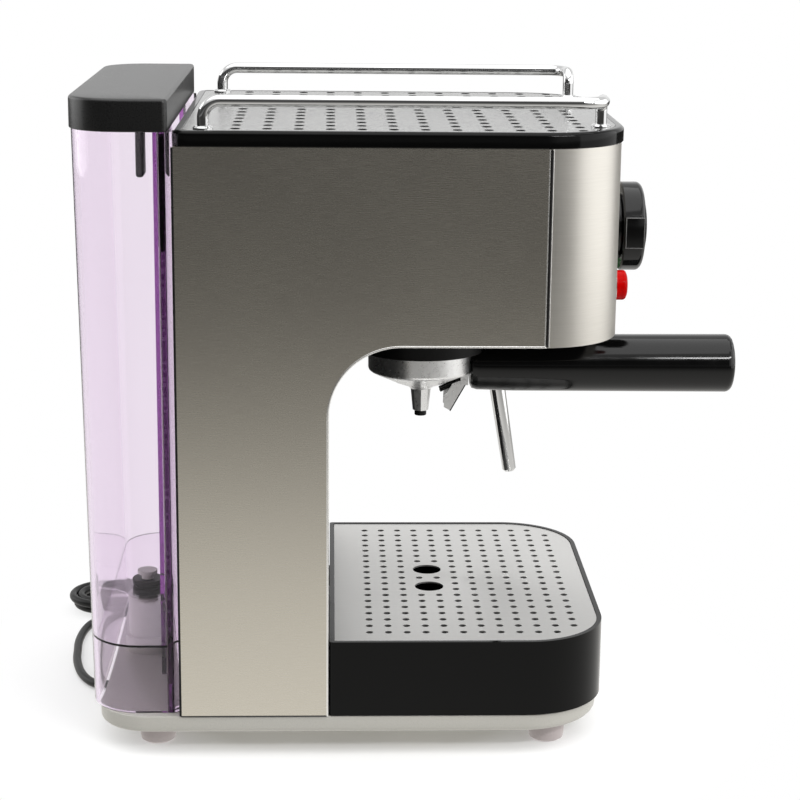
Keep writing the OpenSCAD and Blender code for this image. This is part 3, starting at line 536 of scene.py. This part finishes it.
def make_top_cap():
    """The black frame round the cup plate, its outer edge rolled over."""
    low, high = span_mm("top_cap")
    size = (high.x, low.y, high.y, 46, 8)
    ledge = high.z - 1.1
    profile = [
        (0.5, low.z), (0, low.z + 0.5), *round_over(2.2, high.z), (4.3, high.z), (4.6, high.z - 0.3),
        (4.6, ledge), (8.6, ledge), (8.6, low.z),
    ]
    shape = Shape()
    shape.loft([plan_ring(size, inset, z, 16) for inset, z in profile], closed=True)
    shape.done("top_cap_frame", finish_of("top_cap"), "housing", ["top_cap"])


def make_base_plate():
    """The silver tray that everything stands on: rolled edge, ribbed underside, bosses for the feet."""
    low, high = span_mm("base_plate")
    size = (high.x, low.y, high.y, 45, 28)
    recess = high.z - 3
    profile = [
        (7, recess), (7, low.z + 0.3), (6.7, low.z), *round_under(3.5, low.z),
        *round_over(0.6, high.z),
    ]
    shape = Shape()
    shape.loft([plan_ring(size, inset, z, 16) for inset, z in profile])
    rib_foot, rib_top, rib_half = low.z + 0.6, recess + 0.5, 1.5
    foot_r = 10.25
    foot_high = span_mm("feet")[1]
    boss_x, boss_y = foot_high.x - foot_r, foot_high.y - foot_r
    for x in (-boss_x, boss_x):
        for y in (-boss_y, boss_y):
            shape.turned(
                [(11.8, low.z + 0.1), (12.2, low.z + 0.5), (12.2, rib_top)], (x, y, 0), steps=40,
            )
    for x in (-60, 60):
        shape.block((x - rib_half, -120, rib_foot), (x + rib_half, 120, rib_top), 0.4)
    shape.block((-100, -rib_half, rib_foot), (100, rib_half, rib_top), 0.4)
    shape.done("base_shell", finish_of("base_plate"), "housing", ["base_plate"])


def make_water_tank():
    """The tank's tapered shell with its hose channel, its floor, and the open skirt below the floor."""
    low, high = span_mm("water_tank")
    wall, taper, lean = 2.5, 2.5, 4.5
    floor_z, floor_thick = 61, 1.3
    channel_x, channel_y, step_y = 45, low.y + 12, low.y + 4

    def ring(inner, z):
        k = (z - low.z) / (high.z - low.z)
        x = high.x - taper * (1 - k)
        rear = high.y - lean * (1 - k)
        d = wall if inner else 0
        front = low.y + (6.5 if inner else 0)
        near = 1 if inner else 5
        full = plan_ring((x - d, front, rear - d, near, 28 - d), 0, z, 14)
        edge = x - 7 if inner else x - 5
        step = front if inner else step_y
        out = channel_x + d
        deep = channel_y + d
        bay = [(-edge, front), (-edge + 0.3, step), (-out, step), (-out + 0.3, deep)]
        corner = full[:15]
        return [*corner, *((*p, z) for p in bay), *((-a, b, z) for a, b in reversed(bay)), *full[15:]]

    rings = [
        ring(True, floor_z), ring(True, low.z), ring(False, low.z), ring(False, high.z),
        ring(True, high.z), ring(True, floor_z + floor_thick),
    ]
    shape = Shape()
    shape.loft(rings)
    shape.done("tank_shell", finish_of("water_tank"), "tank", ["water_tank"])


def make_selector_knob():
    """A barrelled dial with two square grips at its sides and its spindle."""
    low, high = span_mm("selector_knob")
    radius, centre_z = (high.z - low.z) / 2, (low.z + high.z) / 2
    depth, spindle = 15.8, 27.5
    back = low.y + depth
    corner = [math.radians(10 * k) for k in range(9)]
    profile = [
        (4, -spindle), (4, 0), (radius - 0.8, 0), (radius, 0.8), (radius, depth - 6.5),
        *((radius - 5 + 5 * math.cos(a), depth - 6.5 + 3.7 * math.sin(a)) for a in corner[1:]),
        (17, depth - 2), (13, depth - 1.1), (9, depth - 0.5), (5, depth - 0.15), (1, depth),
    ]
    shape = Shape()
    shape.turned(profile, (0, back, centre_z), axis=(0, -1, 0), steps=96)
    for side in (-1, 1):
        inner, outer = sorted((side * (radius - 3), side * (radius + 2)))
        shape.block((inner, back - 11.7, centre_z - 9.2), (outer, back - 0.2, centre_z + 9.2), 0.9)
    shape.done(
        "selector_dial", finish_of("selector_knob"), "selector", ["selector_knob"],
    )
    # A grey wire loop round each grip's outer face: painted highlight on the grip's edges.
    for side in (-1, 1):
        x, y0, y1 = side * (radius + 1.9), back - 0.9, back - 11.2
        z0, z1 = centre_z - 8.6, centre_z + 8.6
        outline = [(x, y0, z0), (x, y1, z0), (x, y1, z1), (x, y0, z1)]
        points = [Vector(p) * MM for p in outline]
        hand = "left" if side < 0 else "right"
        wire(
            f"dial_grip_highlight_{hand}", points, 0.32 * MM, grip_highlight_grey, "selector",
            cyclic=True,
        )


make_tank_lid()
make_top_cap()
make_base_plate()
make_water_tank()
make_selector_knob()


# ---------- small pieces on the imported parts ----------

def make_cup_plate_hole_shade():
    """A black dish in each hole of the cup plate, its rim a little wider than the hole: painted shade for
    the dark inside the holes.
    """
    pitch, columns, rows, first_row_y = 16.6, 13, 12, 63
    top = span_mm("cup_plate")[1].z
    profile = [
        (2.4, top - 3), (2.4, top), (2.62, top + 0.04), (2.5, top + 0.12), (2.2, top + 0.06),
        (2.1, top - 2),
    ]
    shape = Shape()
    for i in range(columns):
        for j in range(rows):
            centre = ((i - (columns - 1) / 2) * pitch, first_row_y - j * pitch, 0)
            shape.turned(profile, centre, steps=16)
    shape.done("cup_plate_hole_shade", finish_of("rear_cover"), "housing")


def make_spout_tip():
    """The black ring at the end of the coffee spout."""
    low, high = span_mm("coffee_spout")
    y = (low.y + high.y) / 2
    profile = [(2.25, -0.1), (3.3, -0.1), (3.5, 0.3), (3.5, 3.0), (2.25, 3.0)]
    shape = Shape()
    shape.turned(profile, (0, y, low.z), steps=40, closed=True)
    shape.done("spout_tip", finish_of("group_collar"), "portafilter")


def make_clip_trim():
    """The clip's dark front plate and the two dark legs of its spring wire."""
    pin = Vector((0, -65.4, 189.6))
    plate_tilt, wire_tilt = math.radians(29), math.radians(115)
    shape = Shape()
    lean = Vector((0, math.sin(wire_tilt), math.cos(wire_tilt)))
    for x in (-3, 3):
        start = pin + Vector((x, 0.6, -0.4))
        shape.turned([(0.9, -0.3), (1.1, 0), (1.1, 14.6), (0.8, 15.2)], start, lean, steps=20)
    turn = Matrix.Translation(pin * MM) @ Matrix.Rotation(plate_tilt, 4, "X")
    shape.block((-6.15, -2.1, -20.3), (6.15, -1.4, -0.3), 0.25, turn)
    shape.done("clip_trim", finish_of("group_collar"), "clip")


def make_base_shade_line():
    """A dark strip painted as the shade in the gap between the side panels and the base."""
    low, high = span_mm("side_panel_left")
    size = (-low.x, 14.6, high.y + 0.3, 0.8, 0.8)
    profile = [(-0.15, low.z - 0.2), (-0.15, low.z + 0.5), (1.5, low.z + 0.5), (1.5, low.z - 0.2)]
    shape = Shape()
    shape.loft([plan_ring(size, inset, z, 3) for inset, z in profile], closed=True)
    shape.done("base_shade_line", finish_of("group_gasket"), "housing")


make_base_shade_line()
make_cup_plate_hole_shade()
make_spout_tip()
make_clip_trim()


# ---------- folded edges of the side panels, with painted highlights, and painted shade in their gaps ---

def panel_edge(side):
    """The folded lip along the column, the arc and the head's underside, in lighter steel that paints the
    highlight along the fold.
    """
    hand = "left" if side < 0 else "right"
    lo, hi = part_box("side_panel_" + hand)
    column_y, head_z, arc_r = 15 * MM, 232 * MM, 39 * MM
    inset = 0.5 * MM
    steps = 24
    x = (lo.x if side < 0 else hi.x) - side * inset
    points = [Vector((x, column_y - inset, lo.z))]
    for k in range(steps + 1):
        a = math.radians(90 * k / steps)
        points.append(Vector((
            x,
            column_y - arc_r + (arc_r + inset) * math.cos(a) - inset * 1.6,
            head_z - arc_r + (arc_r + inset) * math.sin(a),
        )))
    points.append(Vector((x, lo.y, head_z + inset)))
    wire(f"panel_edge_{hand}", points, 0.7 * MM, fold_highlight_steel, "housing")


def front_seam(side):
    """A dark strip painted as the shade in the gap before a side panel, a fold in lighter steel with a
    painted highlight on each side of it, and a dark strip painted as the shade in the gap behind the
    panel.
    """
    hand = "left" if side < 0 else "right"
    lo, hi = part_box("side_panel_" + hand)
    low_z, top_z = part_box("front_panel")[0].z + 0.4 * MM, hi.z - 0.4 * MM
    face = lo.x if side < 0 else hi.x
    # The first strand is a dark strip painted as the shade in the front gap; the folds' lighter steel
    # paints their highlight.
    strands = (
        ("seam_gap", 0, 0.45, 0.75, finish_of("rear_cover"), "satin_black"),
        ("seam_fold_rear", 1.0, 0.25, 0.4, fold_highlight_steel, "brushed_steel"),
        ("seam_fold_front", -1.0, 0.25, 0.4, fold_highlight_steel, "brushed_steel"),
    )
    for name, y, deep, radius, mat, slot in strands:
        x = face - side * deep * MM
        points = [Vector((x, lo.y + y * MM, z)) for z in (low_z, top_z)]
        wire(f"{name}_{hand}", points, radius * MM, mat, "housing")
    # A dark strip painted as the shade in the gap behind the side panel.
    x, y = face - side * 0.5 * MM, hi.y + 0.35 * MM
    points = [Vector((x, y, z)) for z in (lo.z + 0.5 * MM, top_z)]
    wire(f"rear_shade_{hand}", points, 0.75 * MM, finish_of("rear_cover"), "housing")


for side in (-1, 1):
    panel_edge(side)
    front_seam(side)


# ---------- mains cord ----------

CORD_D = 5.2 * MM

# The hank, in millimetres: its middle, its straight runs, its inner fold, and its two layers.
HANK_X, HANK_Y, RUN = 138, 138, 50
FOLD_R, PITCH_MM = 16, 5.3
LOW, HIGH = 2.7, 8.0
ENTRY_Y = 136

ROUTE_OUT = [
    (-16, 136, 6), (-15.6, 143, 4.8), (-13.5, 150, 3.5), (-8, 156, 2.8), (0, 161, 2.7), (10, 165, 2.7),
    (22, 168, 2.7), (34, 170, 2.7), (46, 171, 2.7), (58, 172, 2.7), (70, 172, 2.7), (82, 171, 2.7),
    (93, 168.5, 2.7), (102, 164, 2.7), (109, 157.5, 2.7), (113.6, 150, 2.7), (116, 143, 2.7),
]
ROUTE_LEAD = [
    (116.5, 106, 7.9), (116.5, 97, 7), (116.5, 88, 5.6), (117.5, 79, 4.4), (120, 70, 4), (124, 61, 5),
    (129, 52, 8), (133.4, 44.5, 12.5), (136, 39.5, 16.4), (137, 34, 18),
]


def fold(end, r0, r1, z):
    """A half turn round one end of the hank, its radius going from r0 to r1."""
    points = []
    steps = 12
    for k in range(1, steps):
        t = k / steps
        a = math.pi * t + (math.pi if end < 0 else 0)
        r = r0 + (r1 - r0) * t
        points.append((HANK_X + r * math.cos(a), HANK_Y + end * RUN / 2 + r * math.sin(a), z))
    return points


def run(side, r, z0, z1, y0, y1):
    """A straight run on one side of the hank."""
    points = []
    steps = 8
    for k in range(steps + 1):
        t = k / steps
        ease = t * t * (3 - 2 * t)
        points.append((HANK_X + side * r, y0 + (y1 - y0) * t, z0 + (z1 - z0) * ease))
    return points


def hank_turns():
    """Three laps anticlockwise: outer and inner turn below, then inner to outer on top."""
    inner, outer = FOLD_R, FOLD_R + PITCH_MM
    near, far = HANK_Y - RUN / 2, HANK_Y + RUN / 2
    return [
        *run(-1, outer, LOW, LOW, ENTRY_Y, near), *fold(-1, outer, outer, LOW),
        *run(1, outer, LOW, LOW, near, far), *fold(1, outer, inner, LOW),
        *run(-1, inner, LOW, LOW, far, near), *fold(-1, inner, inner, LOW),
        *run(1, inner, LOW, HIGH, near, far), *fold(1, inner, inner, HIGH),
        *run(-1, inner, HIGH, HIGH, far, near), *fold(-1, inner, outer, HIGH),
        *run(1, outer, HIGH, HIGH, near, far), *fold(1, outer, outer, HIGH),
        *run(-1, outer, HIGH, HIGH, far, near),
    ]


def make_cord():
    """The cord along the CAD model's route: out of the base, round the hank, and on to the plug."""
    through = [Vector(p) * MM for p in [*ROUTE_OUT, *hank_turns(), *ROUTE_LEAD]]
    points = smooth_route(through, 3)
    cord = wire("mains_cord", points, CORD_D / 2, finish_of("strain_relief"), "housing")
    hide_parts("cord", "cord_hank", "cord_lead")


make_cord()


# ---------- studio ----------

def stage_light_path(tree, seen, lit):
    """Shows one shader to direct sight, also through clear plastic, and the other to reflections."""
    path = add_node(tree, "ShaderNodeLightPath")
    mix = add_node(tree, "ShaderNodeMixShader")
    direct = add_node(tree, "ShaderNodeMath", operation="MAXIMUM")
    tree.links.new(path.outputs["Is Camera Ray"], direct.inputs[0])
    tree.links.new(path.outputs["Is Transmission Ray"], direct.inputs[1])
    tree.links.new(direct.outputs["Value"], mix.inputs["Fac"])
    tree.links.new(lit, mix.inputs[1])
    tree.links.new(seen, mix.inputs[2])
    return mix.outputs["Shader"]


def add_floor():
    """White where it is looked at, shaded only near the machine.

    In reflections it is an oval pool of light that fades with distance.
    """
    bpy.ops.mesh.primitive_plane_add(size=16, location=(0, 0, -0.0002))
    floor = bpy.context.object
    floor.name = "floor"
    mat = bpy.data.materials.new("floor")
    mat.use_nodes = True
    tree = mat.node_tree
    tree.nodes.clear()
    out = add_node(tree, "ShaderNodeOutputMaterial")
    place = add_node(tree, "ShaderNodeTexCoord").outputs["Object"]

    white = add_node(tree, "ShaderNodeBsdfDiffuse")
    white.inputs["Color"].default_value = (0.93, 0.93, 0.93, 1)
    plain = add_node(tree, "ShaderNodeEmission")
    far = add_node(tree, "ShaderNodeVectorMath", operation="LENGTH")
    tree.links.new(place, far.inputs[0])
    fade = add_node(tree, "ShaderNodeMixShader")
    tree.links.new(share_between(tree, far.outputs["Value"], 0.11, 0.25), fade.inputs["Fac"])
    tree.links.new(white.outputs["BSDF"], fade.inputs[1])
    tree.links.new(plain.outputs["Emission"], fade.inputs[2])

    oval = add_node(tree, "ShaderNodeVectorMath", operation="MULTIPLY")
    oval.inputs[1].default_value = (1, 0.4, 1)
    tree.links.new(place, oval.inputs[0])
    pool = add_node(tree, "ShaderNodeVectorMath", operation="LENGTH")
    tree.links.new(oval.outputs["Vector"], pool.inputs[0])
    spread = share_between(tree, pool.outputs["Value"], 0, 3)
    stops = [(0.05, 0.92), (0.14, 0.74), (0.25, 0.40), (0.42, 0.12), (1.0, 0.05)]
    glow = add_node(tree, "ShaderNodeEmission")
    tree.links.new(level_ramp(tree, spread, stops, (1, 0.985, 0.95)), glow.inputs["Color"])

    shown = stage_light_path(tree, fade.outputs["Shader"], glow.outputs["Emission"])
    tree.links.new(shown, out.inputs["Surface"])
    floor.data.materials.append(mat)


def add_world():
    """White to the camera; in reflections a dim room on the left, and white to the right and in front."""
    world = bpy.data.worlds.new("studio")
    bpy.context.scene.world = world
    world.use_nodes = True
    tree = world.node_tree
    tree.nodes.clear()
    out = add_node(tree, "ShaderNodeOutputWorld")
    seen = add_node(tree, "ShaderNodeBackground")
    seen.inputs["Color"].default_value = (1, 1, 1, 1)
    place = add_node(tree, "ShaderNodeTexCoord")
    parts = add_node(tree, "ShaderNodeSeparateXYZ")
    tree.links.new(place.outputs["Generated"], parts.inputs["Vector"])

    dim_stops = [(0.0, 0.22), (0.06, 0.07), (0.34, 0.05), (0.46, 0.5), (0.7, 1.0)]
    bright_stops = [(0.0, 0.9), (0.3, 1.0), (0.55, 0.8), (1.0, 1.0)]
    across = add_node(tree, "ShaderNodeMath", operation="MAXIMUM")
    tree.links.new(share_between(tree, parts.outputs["X"], -0.3, 0.3), across.inputs[0])
    tree.links.new(share_between(tree, parts.outputs["Y"], -0.18, -0.42), across.inputs[1])
    both = add_node(tree, "ShaderNodeMix", data_type="RGBA")
    tree.links.new(across.outputs["Value"], both.inputs["Factor"])
    tree.links.new(level_ramp(tree, parts.outputs["Z"], dim_stops), both.inputs[MIX_A])
    tree.links.new(level_ramp(tree, parts.outputs["Z"], bright_stops), both.inputs[MIX_B])
    lit = add_node(tree, "ShaderNodeBackground")
    tree.links.new(both.outputs[MIX_OUT], lit.inputs["Color"])
    shown = stage_light_path(tree, seen.outputs["Background"], lit.outputs["Background"])
    tree.links.new(shown, out.inputs["Surface"])


def add_softbox(name, at, target, size, power):
    """A rectangular lamp at a place, pointed at target, that the camera doesn't see."""
    data = bpy.data.lights.new(name, "AREA")
    data.shape = "RECTANGLE"
    data.size, data.size_y = size
    data.energy = power
    light = bpy.data.objects.new(name, data)
    light.location = at
    light.rotation_euler = (Vector(target) - Vector(at)).to_track_quat("-Z", "Y").to_euler()
    light.visible_camera = False
    bpy.context.scene.collection.objects.link(light)


add_floor()
add_world()
add_softbox("overhead", (-0.1, -0.1, 1.7), (0, 0, 0), (2.2, 2.2), 20)
add_softbox("front_card", (-0.1, -1.2, 0.36), (0, 0, 0.2), (1.6, 1.3), 7.5)
add_softbox("rear_card", (0.3, 1.2, 0.6), (0, 0, 0.2), (1.0, 1.0), 4)
add_softbox("strip", (-1.0, -0.66, 0.87), (0, -0.2, 0.2), (0.62, 0.09), 5.5)

bpy.context.scene.view_settings.view_transform = "Standard"
